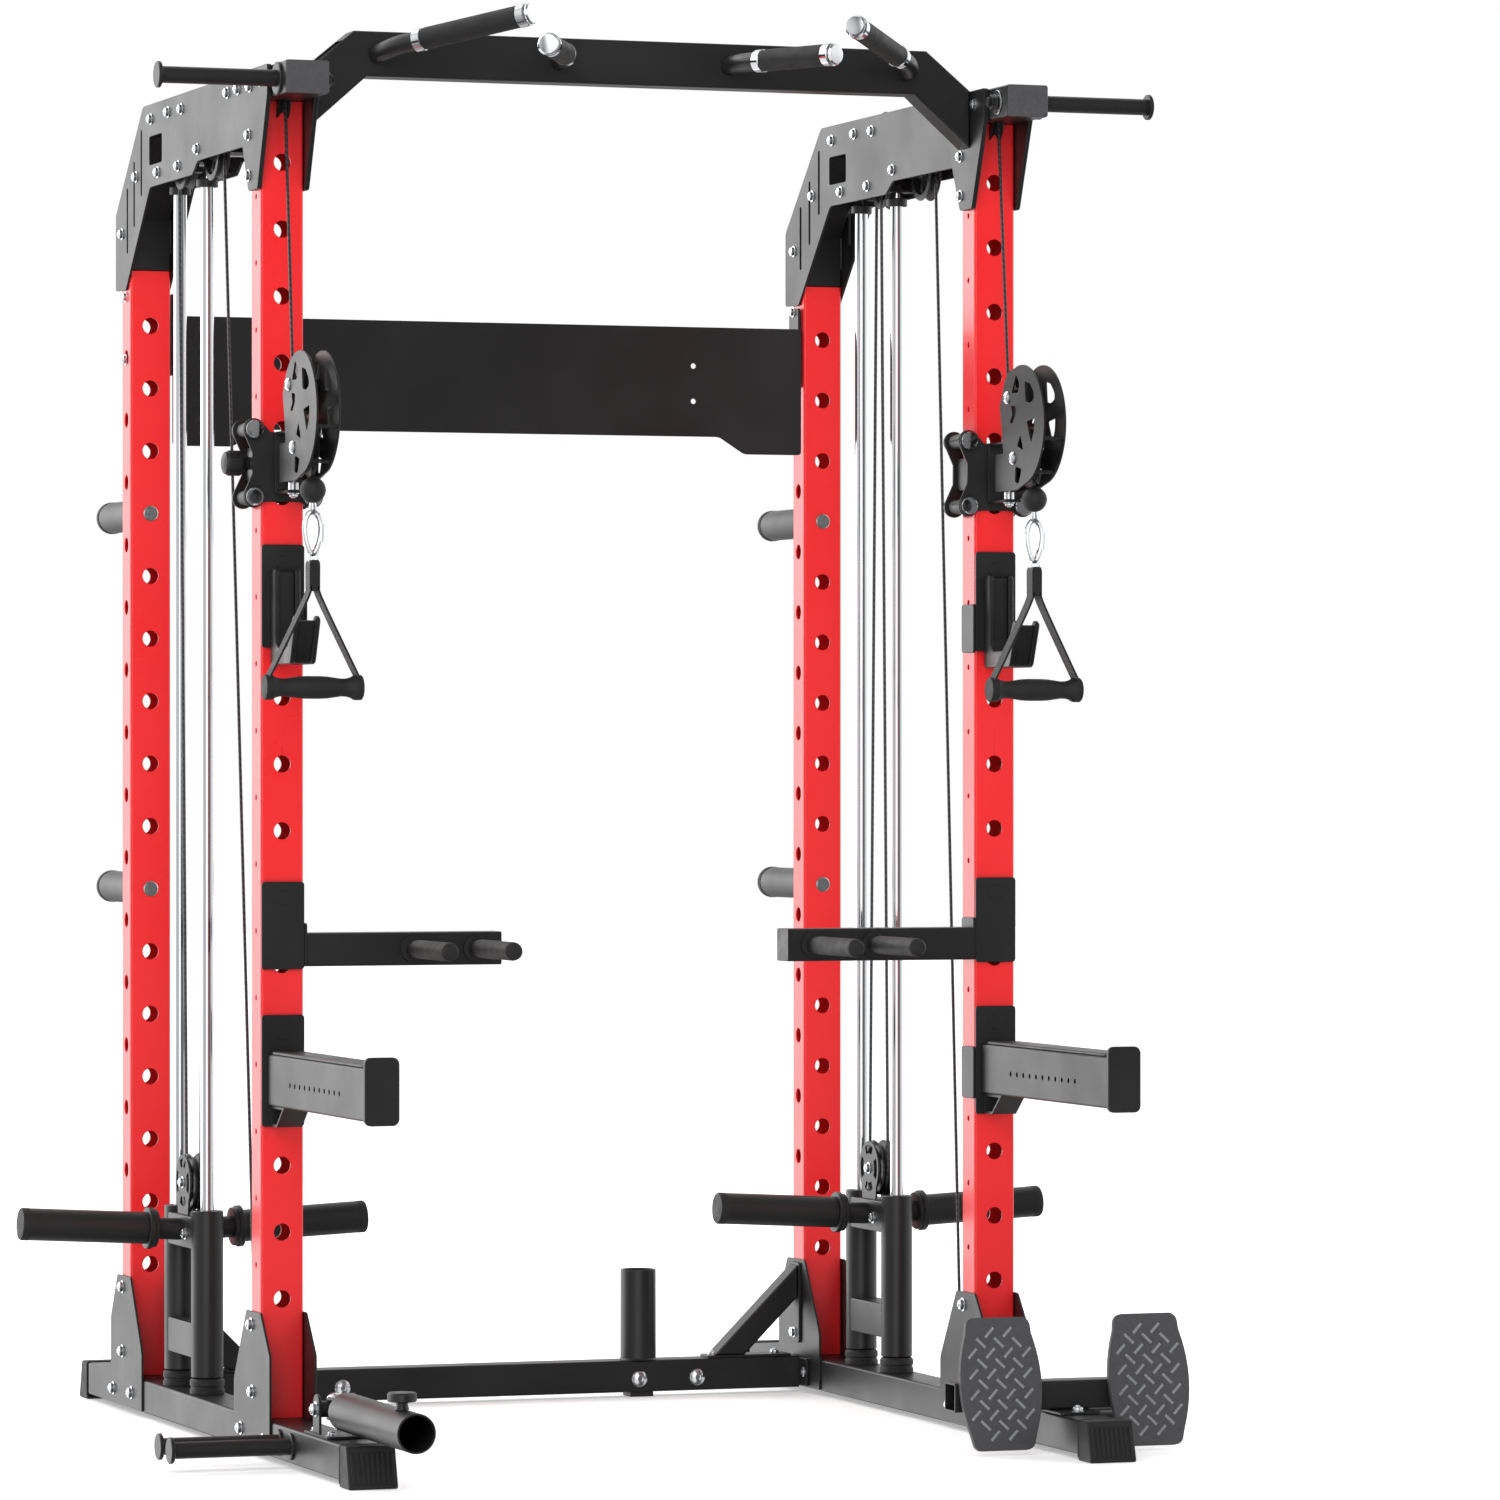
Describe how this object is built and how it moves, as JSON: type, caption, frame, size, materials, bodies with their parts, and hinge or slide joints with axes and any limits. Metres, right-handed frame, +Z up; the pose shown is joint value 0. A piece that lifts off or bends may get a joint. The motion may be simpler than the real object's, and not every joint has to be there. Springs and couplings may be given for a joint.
{
  "type": "functional trainer",
  "caption": "Power rack with plate-loaded cable towers, swivel pulley trolleys, pull-up beam, bar hooks, dip bars, spotter arms, bar socket and foot plates.",
  "frame": {"origin": "middle of the footprint on the floor", "axes": "+X to the right seen from the front, +Y from the front (handles) to the back, +Z up"},
  "size_m": [1.7024, 1.7848, 2.1628],
  "materials": {
    "red_powder_coat": "semi-gloss powder coat",
    "black_powder_coat": "fine satin powder coat",
    "chrome": "polished",
    "rubber": "matt, ribbed",
    "black_plastic": "moulded",
    "cable_coat": "smooth coated wire rope",
    "webbing_and_grip": "webbing strap with a moulded grip"
  },
  "bodies": {
    "frame": {"rear_crossmember": "black_powder_coat", "pull_up_beam": "black_powder_coat", "back_panel": "black_powder_coat", "foot_rest": "black_powder_coat", "base_rail_left": "black_powder_coat", "foot_cap_front_left": "rubber", "foot_cap_rear_left": "rubber", "front_upright_left": "red_powder_coat", "rear_upright_left": "red_powder_coat", "top_beam_left": "black_powder_coat", "head_plate_outer_left": "black_powder_coat", "head_plate_inner_left": "black_powder_coat", "guide_rod_front_left": "chrome", "guide_rod_rear_left": "chrome", "cable_left": "cable_coat", "base_rail_right": "black_powder_coat", "foot_cap_front_right": "rubber", "foot_cap_rear_right": "rubber", "front_upright_right": "red_powder_coat", "rear_upright_right": "red_powder_coat", "top_beam_right": "black_powder_coat", "head_plate_outer_right": "black_powder_coat", "head_plate_inner_right": "black_powder_coat", "guide_rod_front_right": "chrome", "guide_rod_rear_right": "chrome", "cable_right": "cable_coat"},
    "weight_carriage_left": {"weight_carriage_left": "black_powder_coat"},
    "carriage_pulley_left": {"carriage_pulley_left": "black_plastic"},
    "front_top_pulley_left": {"front_top_pulley_left": "black_plastic"},
    "drop_pulley_left": {"drop_pulley_left": "black_plastic"},
    "trolley_left": {"trolley_left": "black_powder_coat"},
    "rear_top_pulley_left": {"rear_top_pulley_left": "black_plastic"},
    "slant_pulley_left": {"slant_pulley_left": "black_plastic"},
    "base_pulley_left": {"base_pulley_left": "black_plastic"},
    "trolley_pin_left": {"trolley_pin_left": "black_plastic"},
    "swivel_housing_left": {"swivel_housing_left": "black_powder_coat"},
    "swivel_upper_pulley_left": {"swivel_upper_pulley_left": "black_plastic"},
    "swivel_lower_pulley_left": {"swivel_lower_pulley_left": "black_plastic"},
    "pull_handle_left": {"pull_handle_left": "webbing_and_grip"},
    "j_hook_left": {"j_hook_left": "black_powder_coat"},
    "dip_bar_left": {"dip_bar_left": "black_powder_coat"},
    "spotter_arm_left": {"spotter_arm_left": "black_powder_coat"},
    "weight_carriage_right": {"weight_carriage_right": "black_powder_coat"},
    "carriage_pulley_right": {"carriage_pulley_right": "black_plastic"},
    "front_top_pulley_right": {"front_top_pulley_right": "black_plastic"},
    "drop_pulley_right": {"drop_pulley_right": "black_plastic"},
    "trolley_right": {"trolley_right": "black_powder_coat"},
    "rear_top_pulley_right": {"rear_top_pulley_right": "black_plastic"},
    "slant_pulley_right": {"slant_pulley_right": "black_plastic"},
    "base_pulley_right": {"base_pulley_right": "black_plastic"},
    "trolley_pin_right": {"trolley_pin_right": "black_plastic"},
    "swivel_housing_right": {"swivel_housing_right": "black_powder_coat"},
    "swivel_upper_pulley_right": {"swivel_upper_pulley_right": "black_plastic"},
    "swivel_lower_pulley_right": {"swivel_lower_pulley_right": "black_plastic"},
    "pull_handle_right": {"pull_handle_right": "webbing_and_grip"},
    "j_hook_right": {"j_hook_right": "black_powder_coat"},
    "dip_bar_right": {"dip_bar_right": "black_powder_coat"},
    "spotter_arm_right": {"spotter_arm_right": "black_powder_coat"},
    "landmine_pivot": {"landmine_pivot": "black_powder_coat"},
    "landmine_socket": {"landmine_socket": "black_powder_coat"}
  },
  "joints": [
    {"name": "carriage_slide_left", "type": "slide", "parent": "frame", "child": "weight_carriage_left", "axis": [0, 0, 1], "range_m": [0, 1.1], "deforming": ["cable_left"]},
    {"name": "carriage_pulley_spin_left", "type": "hinge", "parent": "weight_carriage_left", "child": "carriage_pulley_left", "pos_m": [-0.5723, 0.3096, 0.384], "axis": [1, 0, 0], "range_deg": [-1540, 10]},
    {"name": "front_top_pulley_spin_left", "type": "hinge", "parent": "frame", "child": "front_top_pulley_left", "pos_m": [-0.5723, -0.1734, 2.04], "axis": [1, 0, 0], "range_deg": [-10, 3069]},
    {"name": "drop_pulley_spin_left", "type": "hinge", "parent": "frame", "child": "drop_pulley_left", "pos_m": [-0.5723, 0.2272, 2.04], "axis": [1, 0, 0], "range_deg": [-10, 3069]},
    {"name": "trolley_slide_left", "type": "slide", "parent": "frame", "child": "trolley_left", "axis": [0, 0, 1], "range_m": [0, 0.3], "deforming": ["cable_left"]},
    {"name": "rear_top_pulley_spin_left", "type": "hinge", "parent": "frame", "child": "rear_top_pulley_left", "pos_m": [-0.5723, 0.3096, 1.98], "axis": [1, 0, 0], "range_deg": [-10, 427]},
    {"name": "slant_pulley_spin_left", "type": "hinge", "parent": "frame", "child": "slant_pulley_left", "pos_m": [-0.5723, 0.1276, 1.98], "axis": [1, 0, 0], "range_deg": [-10, 427]},
    {"name": "base_pulley_spin_left", "type": "hinge", "parent": "frame", "child": "base_pulley_left", "pos_m": [-0.5723, -0.0884, 0.115], "axis": [1, 0, 0], "range_deg": [-513, 10]},
    {"name": "pin_pull_left", "type": "slide", "parent": "trolley_left", "child": "trolley_pin_left", "axis": [-1, 0, 0], "range_m": [0, 0.012], "stiffness_N_per_m": 400, "springref_m": -0.005},
    {"name": "swivel_turn_left", "type": "hinge", "parent": "trolley_left", "child": "swivel_housing_left", "pos_m": [-0.5723, -0.2594, 1.488], "axis": [0, 0, 1], "range_deg": [-80, 80], "deforming": ["cable_left"]},
    {"name": "swivel_upper_pulley_spin_left", "type": "hinge", "parent": "swivel_housing_left", "child": "swivel_upper_pulley_left", "pos_m": [-0.5723, -0.3006, 1.6], "axis": [1, 0, 0], "range_deg": [-3069, 10]},
    {"name": "swivel_lower_pulley_spin_left", "type": "hinge", "parent": "swivel_housing_left", "child": "swivel_lower_pulley_left", "pos_m": [-0.5723, -0.3234, 1.506], "axis": [1, 0, 0], "range_deg": [-10, 3069]},
    {"name": "handle_pull_left", "type": "slide", "parent": "swivel_housing_left", "child": "pull_handle_left", "axis": [0, -1, 0], "range_m": [0, 2.22], "deforming": ["cable_left"]},
    {"name": "j_hook_turn_left", "type": "hinge", "parent": "frame", "child": "j_hook_left", "pos_m": [-0.5723, -0.1994, 1.338], "axis": [0, -1, 0], "range_deg": [0, 90]},
    {"name": "dip_bar_turn_left", "type": "hinge", "parent": "frame", "child": "dip_bar_left", "pos_m": [-0.5723, -0.1994, 0.838], "axis": [0, -1, 0], "range_deg": [0, 75]},
    {"name": "spotter_arm_turn_left", "type": "hinge", "parent": "frame", "child": "spotter_arm_left", "pos_m": [-0.5723, -0.1994, 0.638], "axis": [0, -1, 0], "range_deg": [0, 90]},
    {"name": "carriage_slide_right", "type": "slide", "parent": "frame", "child": "weight_carriage_right", "axis": [0, 0, 1], "range_m": [0, 1.1], "deforming": ["cable_right"]},
    {"name": "carriage_pulley_spin_right", "type": "hinge", "parent": "weight_carriage_right", "child": "carriage_pulley_right", "pos_m": [0.5723, 0.3096, 0.384], "axis": [1, 0, 0], "range_deg": [-1540, 10]},
    {"name": "front_top_pulley_spin_right", "type": "hinge", "parent": "frame", "child": "front_top_pulley_right", "pos_m": [0.5723, -0.1734, 2.04], "axis": [1, 0, 0], "range_deg": [-10, 3069]},
    {"name": "drop_pulley_spin_right", "type": "hinge", "parent": "frame", "child": "drop_pulley_right", "pos_m": [0.5723, 0.2272, 2.04], "axis": [1, 0, 0], "range_deg": [-10, 3069]},
    {"name": "trolley_slide_right", "type": "slide", "parent": "frame", "child": "trolley_right", "axis": [0, 0, 1], "range_m": [0, 0.3], "deforming": ["cable_right"]},
    {"name": "rear_top_pulley_spin_right", "type": "hinge", "parent": "frame", "child": "rear_top_pulley_right", "pos_m": [0.5723, 0.3096, 1.98], "axis": [1, 0, 0], "range_deg": [-10, 427]},
    {"name": "slant_pulley_spin_right", "type": "hinge", "parent": "frame", "child": "slant_pulley_right", "pos_m": [0.5723, 0.1276, 1.98], "axis": [1, 0, 0], "range_deg": [-10, 427]},
    {"name": "base_pulley_spin_right", "type": "hinge", "parent": "frame", "child": "base_pulley_right", "pos_m": [0.5723, -0.0884, 0.115], "axis": [1, 0, 0], "range_deg": [-513, 10]},
    {"name": "pin_pull_right", "type": "slide", "parent": "trolley_right", "child": "trolley_pin_right", "axis": [1, 0, 0], "range_m": [0, 0.012], "stiffness_N_per_m": 400, "springref_m": -0.005},
    {"name": "swivel_turn_right", "type": "hinge", "parent": "trolley_right", "child": "swivel_housing_right", "pos_m": [0.5723, -0.2594, 1.488], "axis": [0, 0, 1], "range_deg": [-80, 80], "deforming": ["cable_right"]},
    {"name": "swivel_upper_pulley_spin_right", "type": "hinge", "parent": "swivel_housing_right", "child": "swivel_upper_pulley_right", "pos_m": [0.5723, -0.3006, 1.6], "axis": [1, 0, 0], "range_deg": [-3069, 10]},
    {"name": "swivel_lower_pulley_spin_right", "type": "hinge", "parent": "swivel_housing_right", "child": "swivel_lower_pulley_right", "pos_m": [0.5723, -0.3234, 1.506], "axis": [1, 0, 0], "range_deg": [-10, 3069]},
    {"name": "handle_pull_right", "type": "slide", "parent": "swivel_housing_right", "child": "pull_handle_right", "axis": [0, -1, 0], "range_m": [0, 2.22], "deforming": ["cable_right"]},
    {"name": "j_hook_turn_right", "type": "hinge", "parent": "frame", "child": "j_hook_right", "pos_m": [0.5723, -0.1994, 1.338], "axis": [0, 1, 0], "range_deg": [0, 90]},
    {"name": "dip_bar_turn_right", "type": "hinge", "parent": "frame", "child": "dip_bar_right", "pos_m": [0.5723, -0.1994, 0.838], "axis": [0, 1, 0], "range_deg": [0, 75]},
    {"name": "spotter_arm_turn_right", "type": "hinge", "parent": "frame", "child": "spotter_arm_right", "pos_m": [0.5723, -0.1994, 0.638], "axis": [0, 1, 0], "range_deg": [0, 90]},
    {"name": "landmine_tilt", "type": "hinge", "parent": "frame", "child": "landmine_pivot", "pos_m": [-0.5723, -0.4844, 0.099], "axis": [-1, 0, 0], "range_deg": [0, 80]},
    {"name": "landmine_swing", "type": "hinge", "parent": "landmine_pivot", "child": "landmine_socket", "pos_m": [-0.5723, -0.4844, 0.099], "axis": [0, 0, 1], "range_deg": [-32, 32]}
  ],
  "couplings": [
    {"joint": "carriage_pulley_spin_left", "follows": "carriage_slide_left", "rad_per_m": -24.272},
    {"joint": "front_top_pulley_spin_left", "follows": "carriage_slide_left", "rad_per_m": 48.544},
    {"joint": "drop_pulley_spin_left", "follows": "carriage_slide_left", "rad_per_m": 48.544},
    {"joint": "rear_top_pulley_spin_left", "follows": "trolley_slide_left", "rad_per_m": 24.272},
    {"joint": "slant_pulley_spin_left", "follows": "trolley_slide_left", "rad_per_m": 24.272},
    {"joint": "base_pulley_spin_left", "follows": "trolley_slide_left", "rad_per_m": -29.24},
    {"joint": "swivel_upper_pulley_spin_left", "follows": "carriage_slide_left", "rad_per_m": -48.544},
    {"joint": "swivel_lower_pulley_spin_left", "follows": "carriage_slide_left", "rad_per_m": 48.544},
    {"joint": "handle_pull_left", "follows": "carriage_slide_left", "ratio": 2},
    {"joint": "carriage_pulley_spin_right", "follows": "carriage_slide_right", "rad_per_m": -24.272},
    {"joint": "front_top_pulley_spin_right", "follows": "carriage_slide_right", "rad_per_m": 48.544},
    {"joint": "drop_pulley_spin_right", "follows": "carriage_slide_right", "rad_per_m": 48.544},
    {"joint": "rear_top_pulley_spin_right", "follows": "trolley_slide_right", "rad_per_m": 24.272},
    {"joint": "slant_pulley_spin_right", "follows": "trolley_slide_right", "rad_per_m": 24.272},
    {"joint": "base_pulley_spin_right", "follows": "trolley_slide_right", "rad_per_m": -29.24},
    {"joint": "swivel_upper_pulley_spin_right", "follows": "carriage_slide_right", "rad_per_m": -48.544},
    {"joint": "swivel_lower_pulley_spin_right", "follows": "carriage_slide_right", "rad_per_m": 48.544},
    {"joint": "handle_pull_right", "follows": "carriage_slide_right", "ratio": 2}
  ]
}
